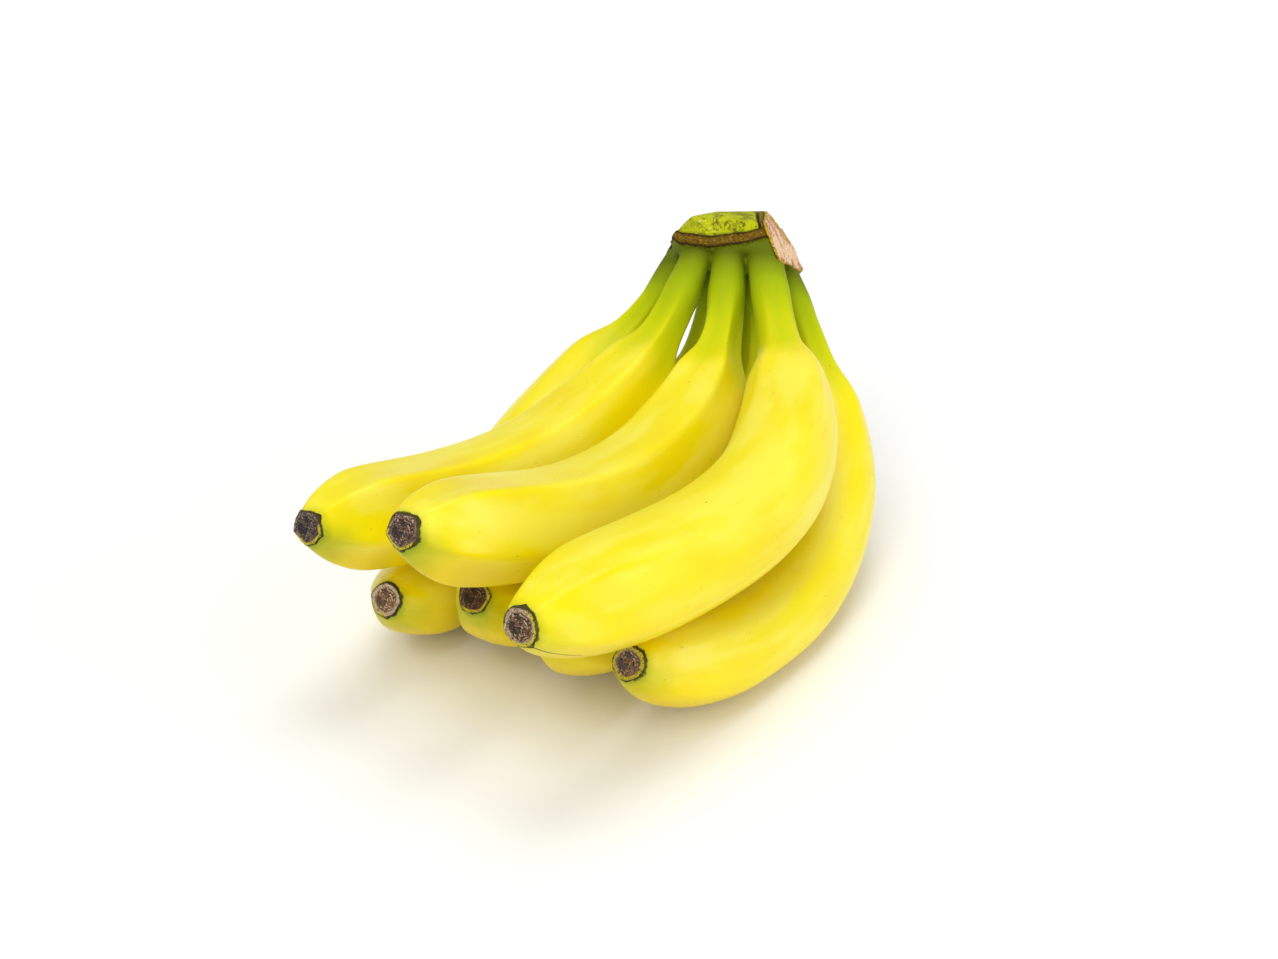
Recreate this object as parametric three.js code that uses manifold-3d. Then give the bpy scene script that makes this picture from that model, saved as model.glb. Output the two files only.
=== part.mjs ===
// A bunch of seven bananas on one crown, lying on the bellies of its lower row.
// Units are millimetres, +Z is up. The tips point towards -Y, the crown stands at +Y.
// Each banana is a lathe-turned fruit bent along its own centre line, and the crown is a cut cushion
// of stalk with a socket for each neck.
import * as THREE from 'three';
import { mergeVertices } from 'three/addons/utils/BufferGeometryUtils.js';
import Module from 'manifold-3d';

const wasm = await Module();
wasm.setup();

// Driving dimensions
const FRUIT_SIDES = 15;           // facets around a fruit, three to each of its five ridges
const RIDGES = 5;
const RIDGE_HEIGHT = 0.03;        // of the radius, outwards on a ridge and inwards between two
const CROWN_TURN = 12;            // degrees that the crown's long axis is turned about Z
const CROWN_LEAN = 42;            // degrees that the crown leans back from upright
const CROWN_LEFT = -21;           // ends of the crown along its axis, from the middle of the rows
const CROWN_RIGHT = 26;
const CROWN_DEPTH = 26;
const CROWN_TOP = 17.2;           // above the neck roots, midway between its ends
const TOP_SLOPE = 11.3;           // degrees that its top climbs towards the right
const CROWN_BOTTOM = -5;          // how far it reaches down around the necks
const CROWN_HEIGHT = 26;          // before its top is cut
const FRONT_SLOPE = 9.5;          // height at which the front starts to slope back
const LEFT_SLOPE = 3.5;           // height at which the left end starts to slope in
const CROWN_ROUND = 4;            // rounding of its edges
const END_CUT = 16.5;             // where the cut that parted the bunch from its hand meets the front
const UNDER_CUT = 23.8;           // where its right end starts to slope in below, level with the roots
const BACK_CUT = 5.5;             // height at which the cut behind meets the back
const SCAR_RADIUS = 1.8;          // of the corky bract scar that runs round the front
const SCAR_LEVEL = 1.6;           // height of the scar above the neck roots
const SOCKET_DEPTH = 11;
const FIT_GAP = 0.55;             // clear space between a neck and its socket
const REST_LEVEL = 0.5;           // height of the surface, which presses each lower belly a little flat

// Radius of a fruit of girth 1, by its distance along the centre line as a share of the length
const FRUIT_PROFILE = [
  [0, 5.2], [0.07, 5.2], [0.135, 5.5], [0.185, 7.2], [0.24, 12.6], [0.3, 14.8], [0.39, 16.4],
  [0.51, 16.8], [0.64, 16.7], [0.74, 16.8], [0.82, 16.8], [0.89, 15.9], [0.94, 12.9], [0.975, 9.2], [1, 5.4],
];
const NECK_FULL = 0.1;            // share of the length where a neck has its whole extra thickness
const NECK_END = 0.27;            // share of the length where that has gone again
const RIDGE_START = 0.2;          // share of the length where the ridges have risen
const RIDGE_END = 0.95;           // share of the length where they begin to fade out

// The two rows of neck roots: where each starts at the left, and which way it runs
const ROWS = {
  upper: { start: new THREE.Vector3(36.8, 60.6, 89.8), run: new THREE.Vector3(12.4, -2.6, 0.5) },
  lower: { start: new THREE.Vector3(36.4, 73.5, 86.2), run: new THREE.Vector3(10.5, -2.2, -1.2) },
};

// Each banana's place along its row, its heading (degrees from -Y towards -X) and pitch (degrees
// above the horizontal) as four weights of a cubic blend from neck to tip, its length along the
// centre line, its girth against the profile, how much thicker its neck is at the root and further
// on, and the turn of its ridges in degrees
const BANANAS = {
  lower_banana_1: {
    at: 0, heading: [81, 41, -2, 29], pitch: [-57, -26, -16, 28], length: 205, girth: 0.98,
    neck: [0, 0], turn: 10,
  },
  lower_banana_2: {
    at: 10.3, heading: [23, 36, 25.5, 23], pitch: [-71, -31, 2, 38], length: 208, girth: 0.93,
    neck: [0, 0], turn: 0,
  },
  lower_banana_3: {
    at: 20.6, heading: [-14.5, 22.3, 43, 24], pitch: [-59, -34, 1, 36], length: 216, girth: 0.9,
    neck: [0, 0], turn: 20,
  },
  lower_banana_4: {
    at: 30.6, heading: [-43.5, 9, 43, 42], pitch: [-51, -31, -3, 29], length: 227, girth: 0.94,
    neck: [0, 1.0], turn: 30,
  },
  upper_banana_1: {
    at: 1.4, heading: [30.3, 34.5, 45.5, 42], pitch: [-48, -17, 20, 14], length: 203, girth: 0.98,
    neck: [0.1, 1.45], turn: -28,
  },
  upper_banana_2: {
    at: 12.6, heading: [4, 20.5, 50, 42], pitch: [-45, -15, 21, 23], length: 215, girth: 1.01,
    neck: [0.2, 1.3], turn: -28,
  },
  upper_banana_3: {
    at: 25.2, heading: [-6, -21, 69, 40], pitch: [-36, -2.5, 1, 8], length: 229, girth: 1.07,
    neck: [0.25, 1.1], turn: 36,
  },
};

const SKIN = new THREE.MeshStandardMaterial({ color: '#f2d90c', roughness: 0.42, metalness: 0 });
const STALK = new THREE.MeshStandardMaterial({ color: '#9fb01c', roughness: 0.5, metalness: 0 });

const radians = THREE.MathUtils.degToRad;

// A cubic blend of four weights, t from 0 to 1
function blend([start, second, third, end], t) {
  const rest = 1 - t;
  return start * rest ** 3 + 3 * second * t * rest ** 2 + 3 * third * t ** 2 * rest + end * t ** 3;
}

// The unit direction of a banana's centre line, and the two directions square to it
function directions(banana, t) {
  const heading = radians(blend(banana.heading, t));
  const pitch = radians(blend(banana.pitch, t));
  const along = new THREE.Vector3(
    -Math.sin(heading) * Math.cos(pitch),
    -Math.cos(heading) * Math.cos(pitch),
    Math.sin(pitch),
  );
  const side = new THREE.Vector3(-Math.cos(heading), Math.sin(heading), 0);
  return { along, side, up: side.clone().cross(along) };
}

// Stations along the fruit: denser where the shoulder and the tip turn quickly
function stations() {
  const knots = FRUIT_PROFILE.map(([share, radius]) => new THREE.Vector2(share, radius));
  const outline = new THREE.SplineCurve(knots).getPoints(2 * (knots.length - 1));
  return outline.map((point, i) => ({
    share: i === outline.length - 1 ? 1 : point.x,
    radius: point.y,
  }));
}

// The centre line's place at each station, by small straight steps from the root
function centreLine(banana, root, shares) {
  const places = [root.clone()];
  for (let i = 1; i < shares.length; i += 1) {
    const middle = (shares[i] + shares[i - 1]) / 2;
    const step = (shares[i] - shares[i - 1]) * banana.length;
    places.push(places[i - 1].clone().addScaledVector(directions(banana, middle).along, step));
  }
  return places;
}

// A banana's radius at a station of the profile
function girthAt(banana, share, radius) {
  const [atRoot, furtherOn] = banana.neck;
  const extra = THREE.MathUtils.lerp(atRoot, furtherOn, THREE.MathUtils.smoothstep(share, 0, NECK_FULL));
  const fade = 1 - THREE.MathUtils.smoothstep(share, (NECK_FULL + NECK_END) / 2, NECK_END);
  return radius * banana.girth + extra * fade;
}

// How much of the ridges' height shows at a station
function ridgeShare(share) {
  const rise = THREE.MathUtils.smoothstep(share, RIDGE_START / 2, RIDGE_START);
  const fade = 1 - THREE.MathUtils.smoothstep(share, RIDGE_END, 1);
  return RIDGE_HEIGHT * rise * fade;
}

// One banana: the fruit is turned straight on a lathe, then each ring moves to its station,
// and what would reach below the surface is pressed flat on it
function bananaGeometry(banana, root) {
  const rings = stations();
  const shares = rings.map((ring) => ring.share);
  const places = centreLine(banana, root, shares);
  const profile = rings.map(({ share, radius }) => (
    new THREE.Vector2(girthAt(banana, share, radius), share)
  ));
  const closed = [new THREE.Vector2(0, 0), ...profile, new THREE.Vector2(0, 1)];
  const geometry = new THREE.LatheGeometry(closed, FRUIT_SIDES);
  const position = geometry.getAttribute('position');
  const vertex = new THREE.Vector3();
  for (let i = 0; i < position.count; i += 1) {
    vertex.fromBufferAttribute(position, i);
    const ring = THREE.MathUtils.clamp((i % closed.length) - 1, 0, rings.length - 1);
    const around = Math.atan2(vertex.x, vertex.z);
    const swell = 1 + ridgeShare(shares[ring]) * Math.cos(RIDGES * around);
    const { side, up } = directions(banana, shares[ring]);
    const turned = around + radians(banana.turn);
    const reach = Math.hypot(vertex.x, vertex.z) * swell;
    vertex.copy(places[ring])
      .addScaledVector(side, reach * Math.sin(turned))
      .addScaledVector(up, reach * Math.cos(turned));
    position.setXYZ(i, vertex.x, vertex.y, Math.max(vertex.z, REST_LEVEL));
  }
  return geometry;
}

// A three.js geometry as a manifold solid, and back
function toSolid(geometry) {
  const bare = geometry.clone();
  bare.deleteAttribute('normal');
  bare.deleteAttribute('uv');
  const merged = mergeVertices(bare, 1e-3);
  return new wasm.Manifold(new wasm.Mesh({
    numProp: 3,
    vertProperties: merged.getAttribute('position').array,
    triVerts: new Uint32Array(merged.index.array),
  }));
}

function toGeometry(solid) {
  const mesh = solid.getMesh();
  const geometry = new THREE.BufferGeometry();
  geometry.setAttribute('position', new THREE.BufferAttribute(mesh.vertProperties, 3));
  geometry.setIndex(new THREE.BufferAttribute(mesh.triVerts, 1));
  return geometry;
}

// The crown's frame: origin midway between the two rows of roots, X along the rows,
// Y towards the back, Z away from the fruits
function crownFrame() {
  const middle = ({ start, run }, along) => start.clone().addScaledVector(run.clone().normalize(), along);
  const origin = middle(ROWS.upper, 12.7).add(middle(ROWS.lower, 16.2)).multiplyScalar(0.5);
  const turn = new THREE.Euler(-radians(CROWN_LEAN), 0, -radians(CROWN_TURN), 'ZYX');
  return new THREE.Matrix4().makeRotationFromEuler(turn).setPosition(origin);
}

// Everything on the upper side of a plane through a point, the plane being turned about X, then Y
function beyond(point, turnX, turnY) {
  const size = 4 * (CROWN_RIGHT - CROWN_LEFT);
  const block = new THREE.BoxGeometry(size, size, size).translate(0, 0, size / 2);
  block.rotateX(radians(turnX)).rotateY(radians(turnY)).translate(...point);
  return toSolid(block);
}

// The cushion of stalk before it is cut: rounded at its left end, square at its right
function cushion() {
  const front = -CROWN_DEPTH / 2;
  const shoulder = CROWN_LEFT + CROWN_DEPTH / 2;
  const outline = new THREE.Shape();
  outline.moveTo(CROWN_LEFT, 0);
  outline.quadraticCurveTo(CROWN_LEFT, front, shoulder, front);
  outline.lineTo(CROWN_RIGHT, front);
  outline.lineTo(CROWN_RIGHT, -front);
  outline.lineTo(shoulder, -front);
  outline.quadraticCurveTo(CROWN_LEFT, -front, CROWN_LEFT, 0);
  return toSolid(new THREE.ExtrudeGeometry(outline, {
    depth: CROWN_HEIGHT - 2 * CROWN_ROUND,
    bevelThickness: CROWN_ROUND,
    bevelSize: CROWN_ROUND,
    bevelOffset: -CROWN_ROUND,
    bevelSegments: 3,
    curveSegments: 8,
  }).translate(0, 0, CROWN_BOTTOM + CROWN_ROUND));
}

// The corky scar of the bract, a low rib that runs round the front and climbs to its ends
function scar() {
  const section = new THREE.Shape().absarc(0, 0, SCAR_RADIUS, 0, 2 * Math.PI);
  const front = -CROWN_DEPTH / 2 + SCAR_RADIUS / 2;
  const route = new THREE.CatmullRomCurve3([
    new THREE.Vector3(CROWN_LEFT + SCAR_RADIUS, 2, SCAR_LEVEL + 4.2),
    new THREE.Vector3(CROWN_LEFT + 5, front + 5, SCAR_LEVEL + 0.8),
    new THREE.Vector3(-9, front, SCAR_LEVEL - 1.2),
    new THREE.Vector3(4, front, SCAR_LEVEL + 0.9),
    new THREE.Vector3(CROWN_RIGHT, front, SCAR_LEVEL + 7),
  ]);
  return toSolid(new THREE.ExtrudeGeometry(section, { steps: 20, curveSegments: 8, extrudePath: route }));
}

function crownGeometry(roots) {
  const front = -CROWN_DEPTH / 2;
  let crown = cushion()
    .subtract(beyond([0, 0, CROWN_TOP], 0, -TOP_SLOPE))
    .subtract(beyond([0, front, FRONT_SLOPE], 32, 0))
    .subtract(beyond([0, -front, BACK_CUT], -48, 0))
    .add(scar())
    .subtract(beyond([CROWN_LEFT, 0, LEFT_SLOPE], 0, -43))
    .subtract(beyond([END_CUT, front, 0], 16, 63.4))
    .subtract(beyond([UNDER_CUT, 0, 0], 0, 131))
    .transform([...crownFrame().elements]);
  const upright = new THREE.Vector3(0, 1, 0);
  for (const { banana, root } of roots) {
    const { along } = directions(banana, 0);
    const inside = girthAt(banana, 0, FRUIT_PROFILE[0][1]) + FIT_GAP;
    const mouth = girthAt(banana, SOCKET_DEPTH / banana.length, FRUIT_PROFILE[1][1]) + FIT_GAP;
    const socket = new THREE.CylinderGeometry(mouth, inside, SOCKET_DEPTH, 24);
    socket.applyQuaternion(new THREE.Quaternion().setFromUnitVectors(upright, along));
    socket.translate(...root.clone().addScaledVector(along, SOCKET_DEPTH / 2 - FIT_GAP));
    crown = crown.subtract(toSolid(socket));
  }
  return toGeometry(crown);
}

// The bunch
const bunch = new THREE.Group();
const roots = Object.entries(BANANAS).map(([name, banana]) => {
  const { start, run } = name.startsWith('upper') ? ROWS.upper : ROWS.lower;
  return { name, banana, root: start.clone().addScaledVector(run.clone().normalize(), banana.at) };
});
for (const { banana, root, name } of roots) {
  const mesh = new THREE.Mesh(toGeometry(toSolid(bananaGeometry(banana, root))), SKIN);
  mesh.name = name;
  bunch.add(mesh);
}
const crown = new THREE.Mesh(crownGeometry(roots), STALK);
crown.name = 'crown';
bunch.add(crown);

// The origin goes to the middle of the bunch, on the surface that it lies on
const extent = new THREE.Box3().setFromObject(bunch);
const middle = extent.getCenter(new THREE.Vector3());
bunch.position.set(-middle.x, -middle.y, -extent.min.z);

export default bunch;
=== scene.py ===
# %% [markdown]
# # A bunch of bananas
# Seven bananas in two rows grow from one stalk, the crown. The imported CAD model is the frame: every
# piece made here sits where a CAD node already is, in metres, +Z up. We load it first.

# %% Load the frame
import math
from collections import namedtuple

import bmesh
import bpy
from mathutils import Matrix, Vector, kdtree, noise
from mathutils.bvhtree import BVHTree


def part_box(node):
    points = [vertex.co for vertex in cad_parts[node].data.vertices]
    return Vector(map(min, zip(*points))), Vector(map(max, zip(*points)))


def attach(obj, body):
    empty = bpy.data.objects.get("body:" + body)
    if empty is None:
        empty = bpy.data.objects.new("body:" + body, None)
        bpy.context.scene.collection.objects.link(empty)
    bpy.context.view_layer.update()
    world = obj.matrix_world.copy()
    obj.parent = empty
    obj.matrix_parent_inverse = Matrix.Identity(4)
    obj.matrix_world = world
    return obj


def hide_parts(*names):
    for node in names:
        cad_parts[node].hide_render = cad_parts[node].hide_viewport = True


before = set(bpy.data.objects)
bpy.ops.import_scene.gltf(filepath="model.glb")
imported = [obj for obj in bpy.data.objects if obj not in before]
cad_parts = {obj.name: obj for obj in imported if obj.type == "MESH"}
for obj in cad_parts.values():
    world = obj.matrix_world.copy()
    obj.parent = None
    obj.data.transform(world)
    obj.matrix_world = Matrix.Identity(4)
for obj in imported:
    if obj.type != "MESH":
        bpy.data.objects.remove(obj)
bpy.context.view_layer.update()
MM = 0.001
print("nodes in the frame:", sorted(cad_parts))

# %% [markdown]
# ## Writing finishes as sums
# A finish is a tree of nodes, but a tree is hard to read as code. `Wire` wraps one output, so that
# an expression such as `1 - mask * 0.5` adds its Math nodes by itself, and `Finish` adds every
# other node through one method.

# %% Wires and finishes
def put(socket, value):
    """Links a wire to a socket, or sets the socket to a number or a colour."""
    if isinstance(value, Wire):
        value.tree.links.new(value.socket, socket)
    else:
        socket.default_value = value


def set_stops(elements, stops):
    """Sets a colour ramp's stops. A new ramp already has two, and they are used first."""
    for k, (place, colour) in enumerate(stops):
        stop = elements[k] if k < 2 else elements.new(place)
        stop.position = place
        stop.color = colour


def add_node(tree, kind, settings, inputs, output=0):
    """Adds a node: its settings first, then its sockets. Gives back one of its outputs."""
    node = tree.nodes.new(kind)
    for name, value in settings.items():
        if name == "stops":
            set_stops(node.color_ramp.elements, value)
        else:
            setattr(node, name, value)
    for name, value in inputs.items():
        put(node.inputs[name], value)
    return Wire(tree, node.outputs[output])


class Wire:
    """One output of a node, for sums written as Python."""

    def __init__(self, tree, socket):
        self.tree, self.socket = tree, socket

    def math(self, operation, first, second):
        settings = {"operation": operation}
        return add_node(self.tree, "ShaderNodeMath", settings, {0: first, 1: second})

    def __add__(self, other):
        return self.math("ADD", self, other)

    def __sub__(self, other):
        return self.math("SUBTRACT", self, other)

    def __rsub__(self, other):
        return self.math("SUBTRACT", other, self)

    def __mul__(self, other):
        return self.math("MULTIPLY", self, other)

    __radd__, __rmul__ = __add__, __mul__

    def size(self):
        """The number without its sign."""
        return self.math("ABSOLUTE", self, 0)

    def wave(self):
        """The sine of the number, from 0 to 1."""
        return self.math("SINE", self, 0) * 0.5 + 0.5

    def least(self, other):
        """The smaller of two numbers."""
        return self.math("MINIMUM", self, other)

    def rise(self, low, high):
        """0 below low, 1 above high, smooth between. With low above high it falls instead."""
        ends = (low, high, 0, 1) if low < high else (high, low, 1, 0)
        sockets = dict(zip(("From Min", "From Max", "To Min", "To Max"), ends), Value=self)
        return add_node(self.tree, "ShaderNodeMapRange", {"interpolation_type": "SMOOTHSTEP"}, sockets)

    def stretched(self, x, y, z):
        """A vector times a factor for each axis."""
        settings = {"operation": "MULTIPLY"}
        return add_node(self.tree, "ShaderNodeVectorMath", settings, {0: self, 1: (x, y, z)})

    def parts(self):
        """The three numbers of a vector."""
        node = add_node(self.tree, "ShaderNodeSeparateXYZ", {}, {0: self}).socket.node
        return [Wire(self.tree, socket) for socket in node.outputs]


class Finish:
    """A material being written, with its tree and its shader."""

    def __init__(self, name, **constants):
        self.material = bpy.data.materials.new(name)
        self.material.use_nodes = True
        self.tree = self.material.node_tree
        self.shader = self.tree.nodes["Principled BSDF"]
        self.set(**constants)

    def node(self, kind, settings, inputs, output=0):
        return add_node(self.tree, kind, settings, inputs, output)

    def attribute(self, name):
        """A vector that the mesh carries at each point."""
        return self.node("ShaderNodeAttribute", {"attribute_name": name}, {}, "Vector")

    def object_place(self):
        return self.node("ShaderNodeTexCoord", {}, {}, "Object")

    def noise(self, where, size, detail=2.0, roughness=0.5):
        """Noise from 0 to 1 whose lumps are about size across."""
        sockets = {"Vector": where, "Scale": 1 / size, "Detail": detail, "Roughness": roughness}
        return self.node("ShaderNodeTexNoise", {}, sockets)

    def mix(self, first, second, share):
        """Two colours, mixed. The node's sockets share their names, so they go by number."""
        return self.node("ShaderNodeMix", {"data_type": "RGBA"}, {0: share, 6: first, 7: second}, 2)

    def bump(self, height, distance, strength):
        sockets = {"Height": height, "Distance": distance, "Strength": strength}
        return self.node("ShaderNodeBump", {}, sockets)

    def set(self, **values):
        """Sets or links the shader's sockets. An underscore stands for a space in their names."""
        for name, value in values.items():
            put(self.shader.inputs[name.replace("_", " ")], value)
        return self.material


def paint(red, green, blue):
    """A colour given as it looks, 0 to 255, as the shader's own light values."""
    def light(c):
        c /= 255
        return c / 12.92 if c <= 0.04045 else ((c + 0.055) / 1.055) ** 2.4
    return (light(red), light(green), light(blue), 1)


print("half grey, as light:", round(paint(128, 128, 128)[0], 3))

# %% [markdown]
# ## Banana skin
# Ripe skin is a clear lemon yellow, with deeper clouds and broad pale mottles. Where it faces up the
# mottles also carry a painted highlight, and its golden underside is painted shade. It ripens last at
# its ends: the neck is green, and yellow reaches up it in tongues along the ridges, while a lime smudge
# and a dry dark rim mark the tip. A painted image would need the fruit to be cut open and laid flat. A
# recipe needs no seam, and serves every fruit and the crown: it works out each colour from the
# distances to the root and the tip.

# %% Skin colours
LEMON = paint(238, 221, 4)
DEEP_YELLOW = paint(234, 202, 2)
MOTTLE_AND_SHEEN_YELLOW = paint(243, 231, 84)
UNDERSIDE_SHADE_GOLD = paint(232, 198, 0)
TIP_GREEN = paint(140, 156, 12)
BURNT_BROWN = paint(60, 50, 20)
# The neck, as stops: millimetres from the root and the colour there
NECK_COLOURS = ((2, paint(94, 108, 10)), (6, paint(124, 140, 8)), (12, paint(152, 171, 6)),
                (27, paint(184, 194, 2)), (44, paint(213, 209, 2)), (64, LEMON))
NECK_LENGTH = NECK_COLOURS[-1][0]

CLOUD_SIZE = 30 * MM
MOTTLE_SIZE = 13 * MM
STREAK_SIZE = 5 * MM
SMUDGE_REACH = 15 * MM          # how far the green smudge spreads from the tip
HALO_REACH = 3 * MM             # and the narrow green ring against the dry end


def yellow_body(finish, flow, cloud, streak, ragged):
    """Ripe skin: lemon with deeper clouds, pale mottles and a painted highlight on top, painted shade
    below.
    """
    height = flow.parts()[1]
    body = finish.mix(LEMON, DEEP_YELLOW, cloud.rise(0.45, 0.7) * 0.4)
    mottle = finish.noise(flow.stretched(1, 1, 0.3), MOTTLE_SIZE, 3) * 0.72 + streak * 0.28
    # Pale mottles only where the skin faces up: partly real mottling, partly a painted highlight
    pale = mottle.rise(0.43, 0.62) * height.rise(-16 * MM, 4 * MM)
    body = finish.mix(body, MOTTLE_AND_SHEEN_YELLOW, pale * 0.6)
    # Gold on the underside is painted shade
    return finish.mix(body, UNDERSIDE_SHADE_GOLD, (height + ragged * 0.2).rise(0, -14 * MM) * 0.6)


def skin_colour(finish, green_tip, green_flank):
    """Colour, roughness and wax of the skin from its own attributes, for the fruits and the crown."""
    from_root, from_tip, crest = finish.attribute("skin_place").parts()
    flow = finish.attribute("skin_flow")
    height = flow.parts()[1]
    spot = finish.object_place()
    cloud = finish.noise(spot, CLOUD_SIZE)
    streak = finish.noise(flow.stretched(1, 1, 0.1), STREAK_SIZE, 3)
    ragged = (streak - 0.5) * (12 * MM) + (cloud - 0.5) * (14 * MM)
    body = yellow_body(finish, flow, cloud, streak, ragged)

    # Ripeness goes by the distance from the root, ragged and further on along the ridges, and held
    # back under a green flank
    ripe = from_root + (ragged + crest * (3 * MM)) * from_root.rise(8 * MM, 30 * MM)
    ripe = ripe - height.rise(2 * MM, -7 * MM) * from_root.rise(20 * MM, 60 * MM) * green_flank
    stops = [(place / NECK_LENGTH, colour) for place, colour in NECK_COLOURS]
    neck = finish.node("ShaderNodeValToRGB", {"stops": stops}, {"Fac": ripe * (1000 / NECK_LENGTH)})
    colour = finish.mix(neck, body, ripe.rise(40 * MM, NECK_LENGTH * MM))

    below = height.rise(6 * MM, -4 * MM)
    smudge = (from_tip + ragged * 0.6).rise(SMUDGE_REACH, 1 * MM) * below * green_tip
    smudge = smudge + (from_tip + ragged * 0.1).rise(HALO_REACH, 0) * 0.35
    colour = finish.mix(colour, TIP_GREEN, smudge)
    scorch = finish.noise(spot, 1.6 * MM, 2)
    burnt = (from_tip + (scorch - 0.5) * (1.2 * MM)).rise(0.6 * MM, 0.1 * MM)
    rough = 0.36 + streak * 0.14 + ripe.rise(62 * MM, 30 * MM) * 0.2
    wax = ripe.rise(26 * MM, 62 * MM) * (1 - burnt) * 0.35
    return finish.mix(colour, BURNT_BROWN, burnt), rough, wax


print("neck colours reach", NECK_LENGTH, "mm from the root")

# %% [markdown]
# A fruit's own finish adds what the crown has not: small brown specks in loose groups, a dry split
# on one fruit, and a thin coat of wax. The wax, not the skin under it, carries the broad soft gloss,
# so green necks stay matt. Grain and lengthwise ribs are too fine to model and are left to a bump.

# %% Skin finish
def skin_finish(name, green_tip, green_flank):
    finish = Finish(name, Specular_IOR_Level=0.08, Subsurface_Weight=0.1, Subsurface_Scale=0.003,
                    Coat_Roughness=0.26)
    colour, rough, wax = skin_colour(finish, green_tip, green_flank)
    flow = finish.attribute("skin_flow")
    spot = finish.object_place()
    speck = finish.noise(spot, 1.1 * MM, 1)
    groups = finish.noise(spot, 11 * MM, 1)
    colour = finish.mix(colour, BURNT_BROWN, speck.rise(0.74, 0.79) * groups.rise(0.5, 0.62) * 0.55)
    aside, open_here = finish.attribute("skin_line").parts()[:2]
    split = aside.size().rise(0.42 * MM, 0.12 * MM) * (open_here + speck * 0.3).rise(0.5, 0.75)
    colour = finish.mix(colour, BURNT_BROWN, split * 0.85)
    grain = finish.noise(spot, 0.9 * MM, 3, 0.6)
    ribs = finish.noise(flow.stretched(1, 1, 0.04), 2.2 * MM, 2)
    relief = finish.bump(grain * 0.5 + ribs * 0.6 - split * 2, 0.14 * MM, 0.6)
    return finish.set(Base_Color=colour, Roughness=rough, Coat_Weight=wax, Normal=relief)

# %% [markdown]
# ## Reading the CAD cages
# Each banana node is a coarse cage: a pole at the neck, rings of vertices square to the fruit's
# centre line, and a pole at the tip. Walking outwards from the neck's pole, edge by edge, gives
# the rings in order. Their middles are the centre line and their widths the radius, so nothing
# has to be typed in twice. Another way would be to repeat the CAD's own formulas here, but then
# the two could drift apart.

# %% Walk the rings of a cage
BANANA_NODES = [n for n in sorted(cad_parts) if "banana" in n]
CAGE_WELD = 0.01 * MM
Ring = namedtuple("Ring", "middle radius")


def welded_copy(node):
    mesh = bmesh.new()
    mesh.from_mesh(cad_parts[node].data)
    bmesh.ops.remove_doubles(mesh, verts=mesh.verts, dist=CAGE_WELD)
    mesh.verts.index_update()
    return mesh


def walk_rings(node, neck_side):
    """Every ring, from the neck to the tip. neck_side is any point nearer to the neck's pole."""
    mesh = welded_copy(node)
    spokes = max(len(v.link_edges) for v in mesh.verts)
    poles = [v for v in mesh.verts if len(v.link_edges) == spokes]
    pole = min(poles, key=lambda v: (v.co - neck_side).length)
    seen, ring, rings = {pole}, [pole], []
    while ring:
        next_ring = {e.other_vert(v) for v in ring for e in v.link_edges} - seen
        ring = sorted(next_ring, key=lambda v: v.index)
        seen.update(ring)
        if len(ring) > 1:
            middle = sum((v.co for v in ring), Vector()) / len(ring)
            reaches = sorted((v.co - middle).length for v in ring)
            rings.append(Ring(middle, reaches[len(reaches) // 2]))
    mesh.free()
    return rings


crown_low, crown_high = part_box("crown")
crown_middle = (crown_low + crown_high) / 2
CAGES = {node: walk_rings(node, crown_middle) for node in BANANA_NODES}
for node, rings in CAGES.items():
    length = sum((b.middle - a.middle).length for a, b in zip(rings, rings[1:]))
    print(f"{node}: {len(rings)} rings, {length / MM:.0f} mm long, root at",
          [round(c / MM, 1) for c in rings[0].middle])

# %% [markdown]
# ## The centre lines
# A smooth curve through the ring middles gives as many stations as a fine skin needs. At each one
# we keep the place, the direction along the fruit, and two directions square to it: one level, one
# upwards. We keep the radius too, and the distance from the root.

# %% Sample a centre line
Station = namedtuple("Station", "place along side up radius distance")


def smooth_through(values, t):
    """A Catmull-Rom curve through values, t from 0 to 1 over the whole list."""
    last = len(values) - 1
    i = min(int(t * last), last - 1)
    u = t * last - i
    a, b = values[max(i - 1, 0)], values[i]
    c, d = values[i + 1], values[min(i + 2, last)]
    return 0.5 * (2 * b + (c - a) * u + (2 * a - 5 * b + 4 * c - d) * u ** 2
                  + (3 * b - a - 3 * c + d) * u ** 3)


def stations(node, count):
    """count stations along a fruit, spread evenly over its rings."""
    steps = [k / (count - 1) for k in range(count)]
    places = [smooth_through([ring.middle for ring in CAGES[node]], t) for t in steps]
    radii = [smooth_through([ring.radius for ring in CAGES[node]], t) for t in steps]
    distance, found = 0.0, []
    for k in range(count):
        ahead, behind = places[min(k + 1, count - 1)], places[max(k - 1, 0)]
        along = (ahead - behind).normalized()
        side = Vector((0, 0, 1)).cross(along).normalized()
        if k:
            distance += (places[k] - places[k - 1]).length
        found.append(Station(places[k], along, -side, along.cross(side), radii[k], distance))
    return found


print("first fruit, every quarter of its rings, mm from the root:",
      [round(s.distance / MM) for s in stations(BANANA_NODES[0], 5)])

# %% [markdown]
# ## Rolling a grid into a fruit
# A fruit or a neck is a tube whose width, ridges and bend all change along it. A bevelled curve
# could bend but not carry ridges that fade, so we roll a flat grid round the centre line instead:
# one column of the grid for each direction around, one row for each station.

# %% Roll a grid round a centre line
SEAM_WELD = 0.001 * MM


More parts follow.
